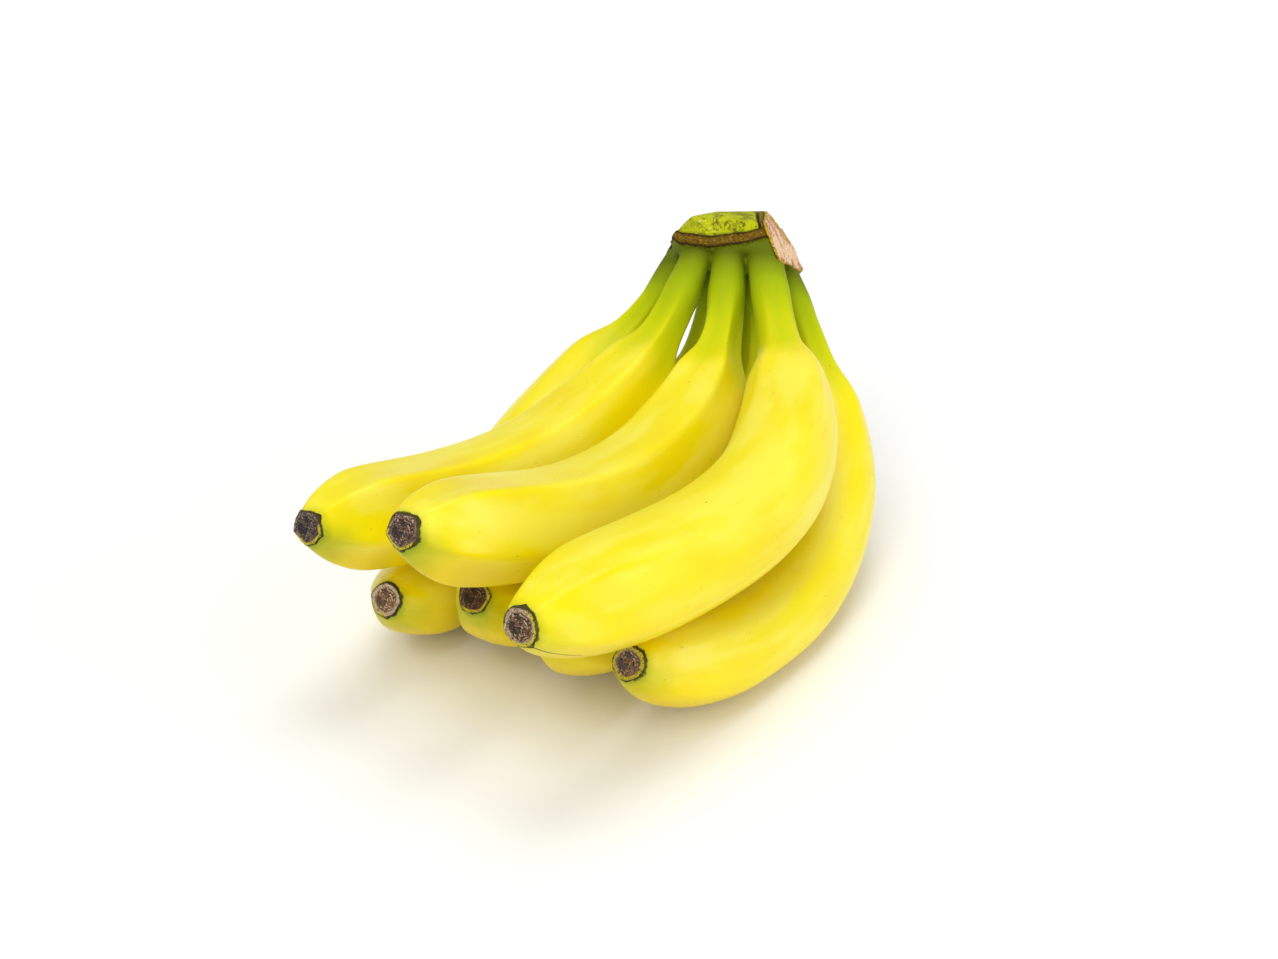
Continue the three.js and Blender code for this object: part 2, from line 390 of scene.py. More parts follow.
def roll_grid(mesh, rings):
    """Adds a closed skin through rings of points, to a mesh that is closed or empty."""
    around, rows = len(rings[0]), len(rings)
    made = bmesh.ops.create_grid(mesh, x_segments=around, y_segments=rows - 1, size=1)["verts"]
    made.sort(key=lambda v: (round(v.co.y, 6), round(v.co.x, 6)))
    columns = around + 1
    for k, vert in enumerate(made):
        vert.co = rings[k // columns][k % columns % around]
    bmesh.ops.remove_doubles(mesh, verts=made, dist=SEAM_WELD)
    open_ends = [e for e in mesh.edges if e.is_boundary]
    caps = bmesh.ops.holes_fill(mesh, edges=open_ends, sides=0)["faces"]
    bmesh.ops.poke(mesh, faces=caps)


def new_piece(name, mesh):
    """Turns a bmesh into a smooth object at the origin, in the scene, with its faces outwards."""
    bmesh.ops.recalc_face_normals(mesh, faces=mesh.faces)
    if mesh.calc_volume(signed=True) < 0:
        bmesh.ops.reverse_faces(mesh, faces=mesh.faces)
    data = bpy.data.meshes.new(name)
    mesh.to_mesh(data)
    mesh.free()
    for face in data.polygons:
        face.use_smooth = True
    piece = bpy.data.objects.new(name, data)
    bpy.context.scene.collection.objects.link(piece)
    return piece


def finished_mesh(piece):
    """The piece's mesh with its modifiers applied, as a bmesh, and the modifiers taken off."""
    seen = piece.evaluated_get(bpy.context.evaluated_depsgraph_get())
    mesh = bmesh.new()
    mesh.from_mesh(seen.to_mesh())
    piece.modifiers.clear()
    return mesh

# %% [markdown]
# ## The fruits
# A banana is five-sided where it is green and rounds out as it ripens: its ridges are crisp near
# the neck and the tip, and soft on the belly. The section is a pentagon blended into a circle, and
# one number for each stretch of the fruit says how much of the pentagon is left. A boolean or a
# sculpt could cut the ridges too, but neither would let them fade so evenly.

# %% Section of a fruit
RIDGES = 5
PENTAGON_MEAN = 0.93            # mean reach of a pentagon whose corners reach 1
CAGE_SHRINK = 1.012             # a smoothed cage lies this much inside its corners
TIP_KEEPS = 0.55                # share of the ridges that is left at the very tip
# Stretches of the fruit's length, as shares of it, over which its ridges change
RIDGES_START = (0.04, 0.16)
BELLY_STARTS, BELLY_ENDS = (0.2, 0.45), (0.6, 0.92)
TIP_FADE = (0.95, 1)

# Each fruit's turn of its ridges in degrees, how ridged its belly and its ends are, how green its
# tip is, and how its blossom end leans from square: to the side and upwards, as slopes. One fruit
# has a green flank, held back by a length, and one a dry split: degrees round, and length
FRUITS = {
    "lower_banana_1": dict(turn=10, belly=0.25, ends=0.6, green_tip=0.5, lean=(0, 0)),
    "lower_banana_2": dict(turn=0, belly=0.25, ends=0.6, green_tip=0.7, lean=(0, 0)),
    "lower_banana_3": dict(turn=20, belly=0.25, ends=0.5, green_tip=0.3, lean=(0, 0)),
    "lower_banana_4": dict(turn=30, belly=0.2, ends=0.45, green_tip=0.5, lean=(-0.26, 0.08)),
    "upper_banana_1": dict(turn=-28, belly=0.8, ends=1.25, green_tip=0.6, lean=(-0.15, 0.07),
                           green_flank=45 * MM),
    "upper_banana_2": dict(turn=-28, belly=0.8, ends=1.25, green_tip=0.6, lean=(-0.2, 0.07)),
    "upper_banana_3": dict(turn=36, belly=0.3, ends=0.6, green_tip=0.3, lean=(-0.1, 0.06),
                           split=(215, 24 * MM)),
}


def smoothstep(low, high, value):
    t = min(max((value - low) / (high - low), 0), 1)
    return t * t * (3 - 2 * t)


def pentagon(angle):
    """Reach of a pentagon at an angle from one of its corners."""
    part = 2 * math.pi / RIDGES
    off = (angle + part / 2) % part - part / 2
    return math.cos(part / 2) / math.cos(part / 2 - abs(off))


def fruit_reach(look, radius, share, angle):
    """Reach of the skin from the centre line, at a share of the length and an angle round it."""
    belly = smoothstep(*BELLY_STARTS, share) * (1 - smoothstep(*BELLY_ENDS, share))
    ridged = look["ends"] + (look["belly"] - look["ends"]) * belly
    ridged *= smoothstep(*RIDGES_START, share) * (1 - (1 - TIP_KEEPS) * smoothstep(*TIP_FADE, share))
    corner = math.radians(look["turn"])
    return radius * CAGE_SHRINK * (1 + ridged * (pentagon(angle - corner) - PENTAGON_MEAN))


def angles_round(count):
    """count even angles over a full turn."""
    return [2 * math.pi * k / count for k in range(count)]


def outwards(station, angle):
    """The direction out of the centre line, at an angle from its top."""
    return station.side * math.sin(angle) + station.up * math.cos(angle)


print("reach between two ridges:", round(pentagon(math.pi / RIDGES), 3))

# %% [markdown]
# A slow noise makes each fruit a little uneven, as grown things are, its blossom end leans, and no
# point goes below the surface that the bunch lies on, so the bellies are pressed a little flat.

# %% Place a point of the skin
UNEVEN = 0.5 * MM
UNEVEN_SIZE = 28 * MM
UNEVEN_STARTS = (0.1, 0.3)
LEAN_FADE = 13 * MM


def lean_back(look, offset, station):
    """How far a point of the blossom end lies back, where that end leans from square."""
    return offset.dot(station.side) * look["lean"][0] + offset.dot(station.up) * look["lean"][1]


def skin_point(look, station, share, from_tip, angle):
    """A point of the skin, at an angle round a station."""
    out = outwards(station, angle)
    reach = fruit_reach(look, station.radius, share, angle)
    spot = station.place + out * reach
    spot += out * (noise.noise(spot / UNEVEN_SIZE) * UNEVEN * smoothstep(*UNEVEN_STARTS, share))
    lean = lean_back(look, out * reach, station)
    spot -= station.along * lean * (1 - smoothstep(0, LEAN_FADE, from_tip))
    spot.z = max(spot.z, 0)
    return spot

# %% [markdown]
# Three attributes travel with the skin for its finish: where a point is (its distance from the root
# and from the tip, and how close it is to a ridge), its place on the fruit laid straight, so that
# streaks can run lengthwise round any bend, and how far it is from the dry split.

# %% Mark the skin for its finish
SKIN_LAYERS = ("skin_place", "skin_flow", "skin_line")
FLOW_APART = 0.1                # the straight fruits lie this far apart, so no two share streaks
SPLIT_STEADY = 0.4              # share of the split over which it is fully open


def crest(look, angle):
    """1 on a ridge, -1 midway between two."""
    return math.cos(RIDGES * (angle - math.radians(look["turn"])))


def laid_straight(number, radius, angle, distance):
    """A place on the fruit as if it were straight: across, up and along."""
    across = radius * math.sin(angle) + number * FLOW_APART
    return Vector((across, radius * math.cos(angle), distance))


def split_line(look, radius, angle, from_tip):
    """Distance of a point from the dry split in the skin, and how open the split is there."""
    start, reach = look.get("split", (0, 0))
    off = (angle - math.radians(start) + math.pi) % (2 * math.pi) - math.pi
    return Vector((radius * off, 1 - smoothstep(reach * SPLIT_STEADY, max(reach, 1 * MM), from_tip), 0))


def rounded(point):
    """A point as a key, the same to a thousandth of a millimetre."""
    return (round(point.x, 6), round(point.y, 6), round(point.z, 6))


def write_skin(mesh, marks):
    """Stores the marks on the vertices, found again by where they are. A pole takes its ring's."""
    layers = [mesh.verts.layers.float_vector.new(name) for name in SKIN_LAYERS]
    for vert in mesh.verts:
        found = marks.get(rounded(vert.co))
        if not found:
            near = min(vert.link_edges, key=lambda e: e.calc_length()).other_vert(vert)
            found = marks[rounded(near.co)]
        for layer, value in zip(layers, found):
            vert[layer] = value

# %% [markdown]
# The grid has a point every few millimetres. One level of subdivision rounds what is between them,
# and each fruit then takes the place of its cage.

# %% Make the seven fruits
STATIONS = 72
SIDES = 50
HIDDEN_START = 11 * MM          # the crown covers the fruit up to here


def fruit_piece(node, number):
    look, line = FRUITS[node], stations(node, STATIONS)
    length = line[-1].distance
    rings, marks = [], {}
    for station in [s for s in line if s.distance > HIDDEN_START]:
        share, from_tip = station.distance / length, length - station.distance
        rings.append([])
        for angle in angles_round(SIDES):
            spot = skin_point(look, station, share, from_tip, angle)
            rings[-1].append(spot)
            marks[rounded(spot)] = (Vector((station.distance, from_tip, crest(look, angle))),
                                    laid_straight(number, station.radius, angle, station.distance),
                                    split_line(look, station.radius, angle, from_tip))
    mesh = bmesh.new()
    roll_grid(mesh, rings)
    write_skin(mesh, marks)
    piece = new_piece(node + "_fruit", mesh)
    smooth = piece.modifiers.new("round the skin", "SUBSURF")
    smooth.levels = smooth.render_levels = 1
    return piece


fruits = {}
for number, node in enumerate(BANANA_NODES):
    fruits[node] = fruit_piece(node, number)
    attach(fruits[node], "root")
    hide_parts(node)
    greens = FRUITS[node]["green_tip"], FRUITS[node].get("green_flank", 0)
    fruits[node].data.materials.append(skin_finish(node + "_skin", *greens))
    print(node, len(fruits[node].data.vertices), "points")

# %% [markdown]
# ## The crown
# The stalks of all seven fruits grow together into one green cushion. A knife parted it from the big
# stem, which left a fibrous cut at the right and another at the back, and a fallen leaf left a corky
# scar round the front. We work in the crown's own frame: X along the rows of necks, Y to the back,
# Z away from the fruits, and its origin midway between the two rows.

# %% The crown's own frame
CROWN_TURN = math.radians(-12)
CROWN_LEAN = math.radians(-42)


def row_middle(row):
    roots = [CAGES[node][0].middle for node in BANANA_NODES if node.startswith(row)]
    return sum(roots, Vector()) / len(roots)


crown_origin = (row_middle("upper") + row_middle("lower")) / 2
crown_frame = (Matrix.Translation(crown_origin) @ Matrix.Rotation(CROWN_TURN, 4, "Z")
               @ Matrix.Rotation(CROWN_LEAN, 4, "X"))
to_crown = crown_frame.inverted()
print("crown origin, mm:", [round(c / MM, 1) for c in crown_origin])

# %% [markdown]
# The cushion starts as a cube. One wide bevel rounds its left end, and planes slice off what the
# growth and the knife took away. Each plane is a point and a direction, and what lies beyond it
# goes. Sculpting would be freer, but named planes can be measured from later, by the small relief
# and by the finish. The two knife cuts are made a little too far out at first, because smoothing
# will soften their edges, and a later step presses them flat and crisp again.

# %% Block out the cushion
LEFT, FRONT = -21, -13          # the cushion's left end and its front, in mm
CUSHION_LOW = Vector((LEFT, FRONT, -2)) * MM
CUSHION_HIGH = Vector((26, -FRONT, 26)) * MM
LEFT_ROUND, FOOT_ROUND = 10 * MM, 2.5 * MM
CUT_SPARE = 1 * MM
TOP_SLOPE = (Vector((0, 0, 17.6)) * MM, Vector((-0.239, 0, 0.971)))
FRONT_SLOPE = (Vector((0, FRONT, 9.5)) * MM, Vector((0, -0.53, 0.848)))
LEFT_SLOPE = (Vector((LEFT, 0, 3.5)) * MM, Vector((-0.682, 0, 0.731)))
UNDER_SLOPE = (Vector((22.3, 0, 0)) * MM, Vector((0.755, 0, -0.656)))
END_CUT = (Vector((17, FRONT, 0)) * MM, Vector((0.860, -0.275, 0.430)))
BACK_CUT = (Vector((0, 13.8, 5.5)) * MM, Vector((0, 0.963, 0.271)))


def slice_off(mesh, place, direction):
    """Cuts away what lies beyond a plane and closes the hole."""
    everything = mesh.verts[:] + mesh.edges[:] + mesh.faces[:]
    bmesh.ops.bisect_plane(mesh, geom=everything, plane_co=place, plane_no=direction, clear_outer=True)
    bmesh.ops.holes_fill(mesh, edges=[e for e in mesh.edges if e.is_boundary], sides=0)


def round_edges(mesh, edges, radius, segments):
    bmesh.ops.bevel(mesh, geom=edges, affect="EDGES", offset=radius, segments=segments,
                    profile=0.5, material=-1)


def is_upright(edge):
    one, other = edge.verts
    return abs(one.co.z - other.co.z) > 1 * MM


crown_mesh = bmesh.new()
bmesh.ops.create_cube(crown_mesh, size=1)
bmesh.ops.scale(crown_mesh, vec=CUSHION_HIGH - CUSHION_LOW, verts=crown_mesh.verts)
bmesh.ops.translate(crown_mesh, vec=(CUSHION_HIGH + CUSHION_LOW) / 2, verts=crown_mesh.verts)
left_edges = [e for e in crown_mesh.edges if is_upright(e) and all(v.co.x < 0 for v in e.verts)]
round_edges(crown_mesh, left_edges, LEFT_ROUND, 6)
low_edges = [e for e in crown_mesh.edges if all(v.co.z < 0 for v in e.verts)]
round_edges(crown_mesh, low_edges, FOOT_ROUND, 3)
for slope in (TOP_SLOPE, FRONT_SLOPE, LEFT_SLOPE, UNDER_SLOPE):
    slice_off(crown_mesh, *slope)
for place, direction in (END_CUT, BACK_CUT):
    slice_off(crown_mesh, place + direction * CUT_SPARE, direction)
bmesh.ops.transform(crown_mesh, matrix=crown_frame, verts=crown_mesh.verts)
print("cushion:", len(crown_mesh.faces), "faces")

# %% [markdown]
# Each neck joins the cushion through a sleeve of skin, rolled round the same centre line as its
# fruit. A sleeve is a little wider than the neck at the root, most of all on the two outer shoulders,
# and a little narrower at its far end, so that it dives under the fruit's skin on the way and the
# join doesn't show.

# %% Add a sleeve for each neck
SLEEVE_REACH = 34 * MM
SLEEVE_ROOT = 3 * MM            # how far a sleeve starts inside the cushion
SLEEVE_OVER, SLEEVE_UNDER = 0.35 * MM, 0.45 * MM      # outside the fruit at the root, inside it later
SLEEVE_DIVES = (12 * MM, 32 * MM)
SLEEVE_SIDES = 40
ROOT_FLARES = {"lower_banana_1": 1.3 * MM, "lower_banana_4": 0.9 * MM}
FLARE_FADES = (4 * MM, 27 * MM)


def neck_line(node):
    return [s for s in stations(node, 2 * STATIONS) if s.distance < SLEEVE_REACH]


def sleeve_radius(node, station):
    dive = (SLEEVE_OVER + SLEEVE_UNDER) * smoothstep(*SLEEVE_DIVES, station.distance)
    flare = ROOT_FLARES.get(node, 0) * (1 - smoothstep(*FLARE_FADES, station.distance))
    return station.radius + SLEEVE_OVER - dive + flare


def sleeve_rings(node):
    line = neck_line(node)
    length = stations(node, STATIONS)[-1].distance
    root = line[0]
    line.insert(0, root._replace(place=root.place - root.along * SLEEVE_ROOT))
    rings = []
    for station in line:
        radius, share = sleeve_radius(node, station), station.distance / length
        rings.append([station.place + outwards(station, a) * fruit_reach(FRUITS[node], radius, share, a)
                      for a in angles_round(SLEEVE_SIDES)])
    return rings


for node in BANANA_NODES:
    roll_grid(crown_mesh, sleeve_rings(node))
crown_piece = new_piece("crown_stalk", crown_mesh)
print("cushion and sleeves:", len(crown_piece.data.polygons), "faces")

# %% [markdown]
# A voxel remesh melts the cushion and the sleeves into one skin. A boolean union would join them
# too, but with a hard line all round each neck. Smoothing then runs a fillet into every groove, as
# growing tissue does: the more passes, the wider the fillet, so the roots of the necks get more
# than the top.

# %% Melt them together and run the fillets
MELT_VOXEL = 0.5 * MM
ROOTS = (-14 * MM, 0)           # heights between which the necks part
ALL_PASSES, ROOT_PASSES, LAST_PASSES = 5, 2, 1


def melt(piece):
    remesh = piece.modifiers.new("melt", "REMESH")
    remesh.mode = "VOXEL"
    remesh.voxel_size = MELT_VOXEL
    return finished_mesh(piece)


def smooth_points(mesh, points, passes):
    for _ in range(passes):
        bmesh.ops.smooth_vert(mesh, verts=points, factor=0.5, use_axis_x=True, use_axis_y=True,
                              use_axis_z=True)


crown_mesh = melt(crown_piece)
smooth_points(crown_mesh, crown_mesh.verts[:], ALL_PASSES)
root_points = [v for v in crown_mesh.verts if ROOTS[0] < (to_crown @ v.co).z < ROOTS[1]]
smooth_points(crown_mesh, root_points, ROOT_PASSES)
print("melted:", len(crown_mesh.verts), "points")

# %% [markdown]
# A knife leaves a flat face with a crisp rim. Bisecting the melted mesh would cut straight through
# the necks below as well. Instead, whatever still stands beyond a cutting plane is pressed back onto
# it, and a second melt evens out the mesh there. The end cut stops a little below the cushion, so
# its pressing stops there too.

# %% Press the two knife cuts flat
CUT_HOLLOW = 12                 # depth of a cut's hollow, for the square of the height, per metre
HOLLOW_START = 6 * MM
CUT_FOOT, FOOT_CLIMB = -4.6 * MM, 0.19               # foot of the end cut in front, and its slope
FOOT_FADE = 0.9 * MM


def beyond_cut(cut, spot):
    """How far a point in the crown's frame stands beyond a cut, which hollows towards its top."""
    place, direction = cut
    return (spot - place).dot(direction) + CUT_HOLLOW * max(0, spot.z - HOLLOW_START) ** 2


def cut_share(spot):
    """1 where the knife went, 0 below the foot of the end cut, which is higher at the back."""
    ragged = noise.noise(spot / (3 * MM)) * 0.8 * MM
    foot = CUT_FOOT + FOOT_CLIMB * (spot.y - FRONT * MM) + ragged
    return smoothstep(-FOOT_FADE, FOOT_FADE, spot.z - foot)


def press_flat(mesh, cut):
    """Presses what stands beyond a cut back onto it. Gives back how many points were beyond it."""
    direction = crown_frame.to_3x3() @ cut[1]
    pressed = 0
    for vert in mesh.verts:
        spot = to_crown @ vert.co
        proud = beyond_cut(cut, spot) - noise.noise(spot / (5 * MM)) * 0.5 * MM
        if proud > 0:
            vert.co -= direction * proud * cut_share(spot)
            pressed += 1
    return pressed


for name, cut in (("end", END_CUT), ("back", BACK_CUT)):
    print(name, "cut:", press_flat(crown_mesh, cut), "points pressed")
crown_mesh.to_mesh(crown_piece.data)
crown_mesh = melt(crown_piece)
smooth_points(crown_mesh, crown_mesh.verts[:], LAST_PASSES)

# %% [markdown]
# Scar, crack and fibres are small, so they come last, as moves of the points along their normals.
# The scar follows a smooth curve over X: it climbs round the left end, dips in front, climbs again
# towards the end cut, and fades at the back. The crack runs up from it beside the end cut. A bump in
# the finish would be quicker, but these show in the outline.

# %% Raise the scar and open the crack
SCAR_LINE = (4.8, 1.9, 1.1, 0.7, 0.75, 1.6, 2.5, 3.3, 4.8, 6.2, 7.1)     # heights over even steps of X
SCAR_START, SCAR_END = LEFT * MM, 18 * MM
SCAR_HALF = 2.1 * MM
SCAR_BEHIND = 4 * MM            # its height at the back
SCAR_FADE = (1 * MM, 6 * MM)
CRACK_FOOT, CRACK_SLANT = 13.1 * MM, -0.38
CRACK_FADE = (-4 * MM, 3 * MM)
FAR = 8 * MM                    # far enough from a cut to be plain skin


def scar_height(spot):
    """Height of a point above the middle of the scar."""
    part = min(max((spot.x - SCAR_START) / (SCAR_END - SCAR_START), 0), 1)
    level = smooth_through(SCAR_LINE, part) * MM
    behind = smoothstep(0, 10 * MM, spot.y)
    return spot.z - level * (1 - behind) - SCAR_BEHIND * behind


def under_cuts(spot):
    """How far a point is under the end cut and the back cut. Below the foot, it is far from both."""
    spared = FAR * (1 - cut_share(spot))
    past_left = FAR * (1 - smoothstep(-19 * MM, -16 * MM, spot.x))
    return spared - beyond_cut(END_CUT, spot), spared + past_left - beyond_cut(BACK_CUT, spot)


def scar_rib(spot, height, lumps):
    """How far the scar stands out, from 0 to 1: a rib with lumpy edges, lower towards the back."""
    edge = height + lumps * 0.4 * MM
    rib = smoothstep(-SCAR_HALF - 0.5 * MM, -SCAR_HALF + 0.1 * MM, edge)
    rib *= 1 - smoothstep(SCAR_HALF - 0.4 * MM, SCAR_HALF + 0.3 * MM, edge)
    return rib * (1 - 0.7 * smoothstep(*SCAR_FADE, spot.y))


def crack_depth(spot, height, lumps):
    """How deep the crack is, from 0 to 1: from the scar upwards, and only in front."""
    aside = spot.x - CRACK_FOOT - CRACK_SLANT * spot.z - lumps * 0.5 * MM
    crack = 1 - smoothstep(0.2 * MM, 0.8 * MM, abs(aside))
    above = smoothstep(SCAR_HALF, SCAR_HALF + 1 * MM, height)
    return crack * above * (1 - smoothstep(*CRACK_FADE, spot.y))


def small_relief(spot):
    """How far a point moves along its normal: scar and crack on the skin, fibres on the cuts."""
    height = scar_height(spot)
    skin = smoothstep(0.2 * MM, 1.0 * MM, min(under_cuts(spot)))
    lumps = noise.noise(spot / (1.5 * MM))
    fibre = noise.noise(Vector((spot.x, spot.y, spot.z * 0.25)) / (0.9 * MM))
    on_skin = scar_rib(spot, height, lumps) * (0.7 + 0.5 * lumps) - crack_depth(spot, height, lumps) * 0.9
    return (skin * on_skin + (1 - skin) * (fibre * 0.22 - 0.1)) * MM


crown_mesh.normal_update()
moves = [v.normal * small_relief(to_crown @ v.co) for v in crown_mesh.verts]
for vert, move in zip(crown_mesh.verts, moves):
    vert.co += move
print("longest move:", round(max(move.length for move in moves) / MM, 2), "mm")

# %% [markdown]
# The crown's finish needs to know five things at each point: where it is on the nearest neck and on
# that neck laid straight, so that its skin matches the fruits'; where it is in the crown's frame; how
# far it is from the scar and from the two cuts; and how deep it lies in a groove between two necks,
# where the finish paints shade. A groove is where the two nearest necks are equally far.

# %% Store what the crown's finish reads
CROWN_LAYERS = ("skin_place", "skin_flow", "stalk_place", "stalk_marks", "stalk_groove_shade")
FAR_FROM_TIP = 0.2
CUSHION_SKIN = (-15 * MM, -7 * MM)      # over these heights a neck's own distance gives way to depth
GROOVE_EDGE = (0.5 * MM, 1.8 * MM)
GROOVE_TOP = (-6 * MM, -3 * MM)
GROOVE_RIGHT = (14 * MM, 17 * MM)


def line_tree(line):
    tree = kdtree.KDTree(len(line))
    for k, station in enumerate(line):
        tree.insert(station.place, k)
    tree.balance()
    return tree


def nearest_necks(necks, point):
    """The two nearest necks, as the gap to the skin, the node, and the nearest station."""
    found = []
    for node, (line, tree) in necks.items():
        k, distance = tree.find(point)[1:]
        found.append((distance - line[k].radius, node, line[k]))
    return sorted(found, key=lambda f: f[0])[:2]


# Share of painted shade in a groove: 1 deep in it, fading at its edges, near the top and at the right
def groove_shade_depth(spot, closest, next_closest):
    deep = 1 - smoothstep(*GROOVE_EDGE, next_closest - closest)
    return deep * (1 - smoothstep(*GROOVE_TOP, spot.z)) * (1 - smoothstep(*GROOVE_RIGHT, spot.x))


def crown_marks(necks, point):
    """What the finish reads at a point, in the order of CROWN_LAYERS."""
    (gap, node, station), (next_gap, *_) = nearest_necks(necks, point)
    out = point - station.place
    spot = to_crown @ point
    distance = station.distance + out.dot(station.along)
    distance += (-spot.z - distance) * smoothstep(*CUSHION_SKIN, spot.z)
    angle = math.atan2(out.dot(station.side), out.dot(station.up))
    return (Vector((distance, FAR_FROM_TIP, crest(FRUITS[node], angle))),
            laid_straight(BANANA_NODES.index(node), station.radius, angle, distance),
            spot,
            Vector((scar_height(spot), *under_cuts(spot))),
            Vector((groove_shade_depth(spot, gap, next_gap), 0, 0)))


necks = {node: (neck_line(node), line_tree(neck_line(node))) for node in BANANA_NODES}
layers = [crown_mesh.verts.layers.float_vector.new(name) for name in CROWN_LAYERS]
for vert in crown_mesh.verts:
    for layer, value in zip(layers, crown_marks(necks, vert.co)):
        vert[layer] = value
for face in crown_mesh.faces:
    face.smooth = True
print("crown:", len(crown_mesh.faces), "faces")
crown_mesh.to_mesh(crown_piece.data)
crown_mesh.free()

# %% [markdown]
# ## Finish of the crown
# Five looks share one surface: green skin, the lime face above the scar with its dark and pale
# flecks, the corky scar, the olive strip by the crack, and the pink fibrous cuts with a yellow rim.
# Five materials on five sets of faces would meet in hard steps. Masks worked out from the stored
# marks, and made ragged with a little noise, let one material pass from look to look.

# %% The face above the scar
LIME_FACE = paint(182, 188, 8)
OLIVE_FACE = paint(132, 138, 12)
FLECK_BROWN = paint(88, 76, 14)
FLECK_PALE = paint(222, 222, 120)
CRACK_AND_SHADE_BROWN = paint(50, 38, 10)


def past_slope(x, z, slope):
    """How far a point is past a slope of the cushion that runs across X and Z only."""
    place, direction = slope
    return (x - place.x) * direction.x + (z - place.z) * direction.z


def face_colour(finish, spot, height, fleck, dust):
    """Lime with olive clouds, brown flecks in clusters, pale dots at its left, browner at its edges,
    painted shade above the scar.
    """
    x, _, z = spot.parts()
    patch = finish.noise(spot, 4.5 * MM, 2)
    face = finish.mix(LIME_FACE, OLIVE_FACE, patch.rise(0.4, 0.68) * 0.75)
    clusters = patch.rise(0.36, 0.52) * x.rise(-16 * MM, -5 * MM)
    face = finish.mix(face, FLECK_BROWN, fleck.rise(0.47, 0.6) * clusters * 0.85)
    face = finish.mix(face, FLECK_BROWN, dust.rise(0.58, 0.7) * 0.7)
    face = finish.mix(face, FLECK_PALE, dust.rise(0.4, 0.3) * x.rise(0, -10 * MM) * 0.8)
    left_rind = past_slope(x, z, LEFT_SLOPE).rise(-1.1 * MM, -0.3 * MM) * 0.7
    top_rind = past_slope(x, z, TOP_SLOPE).rise(-1.3 * MM, -0.3 * MM) * 0.5
    face = finish.mix(face, FLECK_BROWN, (left_rind + top_rind) * fleck.rise(0.36, 0.56))
    # Painted shade: the face darkens to brown just above the scar
    return finish.mix(face, CRACK_AND_SHADE_BROWN, height.rise(SCAR_HALF + 1.3 * MM, SCAR_HALF) * 0.5)

# %% [markdown]
# The scar is cork: dark at both edges and brown between, with ochre grains. The cuts are cream flesh
# with red-brown fibres that run along them, so their noise is drawn out along Z.

# %% Cork and cut flesh
CORK_DARK = paint(54, 38, 10)
CORK_BROWN = paint(104, 80, 20)
CORK_OCHRE = paint(150, 116, 26)
CUT_CREAM = paint(234, 202, 166)
CUT_RED = paint(168, 102, 78)
CUT_BROWN = paint(112, 74, 40)


def cork_colour(finish, spot, inside, fleck):
    """Dark cork, browner and grained where inside, the share of being off its edges, is 1."""
    grains = finish.noise(spot.stretched(0.45, 0.45, 1), 0.55 * MM, 2)
    cork = finish.mix(CORK_DARK, CORK_BROWN, inside * (1 - fleck.rise(0.55, 0.66)))
    return finish.mix(cork, CORK_OCHRE, inside * grains.rise(0.5, 0.66) * 0.8)


def flesh_colour(finish, spot, fibre):
    """Cream with red-brown fibres, redder higher up, and browned in places."""
    blush = finish.noise(spot.stretched(1, 1, 0.35), 4 * MM, 2)
    high = spot.parts()[2].rise(2 * MM, 16 * MM)
    flesh = finish.mix(CUT_CREAM, CUT_RED, fibre.rise(0.44, 0.6) * (0.4 + high * 0.5))
    flesh = finish.mix(flesh, CUT_RED, (blush + high * 0.1).rise(0.48, 0.64) * 0.6)
    return finish.mix(flesh, CUT_BROWN, (fibre + blush * 0.5).rise(0.78, 0.88) * 0.6)

# %% [markdown]
# Now the looks are laid over each other, from the skin up to the cuts, each through its own mask.

# %% Crown finish
GROOVE_SHADE_GREEN = paint(58, 66, 8)
STRIP_OLIVE = paint(128, 116, 26)
RIM_YELLOW = paint(196, 160, 30)
CORK_FADE = (5.5 * MM, 1.5 * MM)


def cork_share(height, y, ragged):
    """1 on the scar, 0 above, below and behind it."""
    edge = height + ragged * 0.8
    over_foot = edge.rise(-SCAR_HALF - 0.4 * MM, -SCAR_HALF + 0.2 * MM)
    return over_foot * edge.rise(SCAR_HALF + 0.3 * MM, SCAR_HALF - 0.1 * MM) * y.rise(*CORK_FADE)


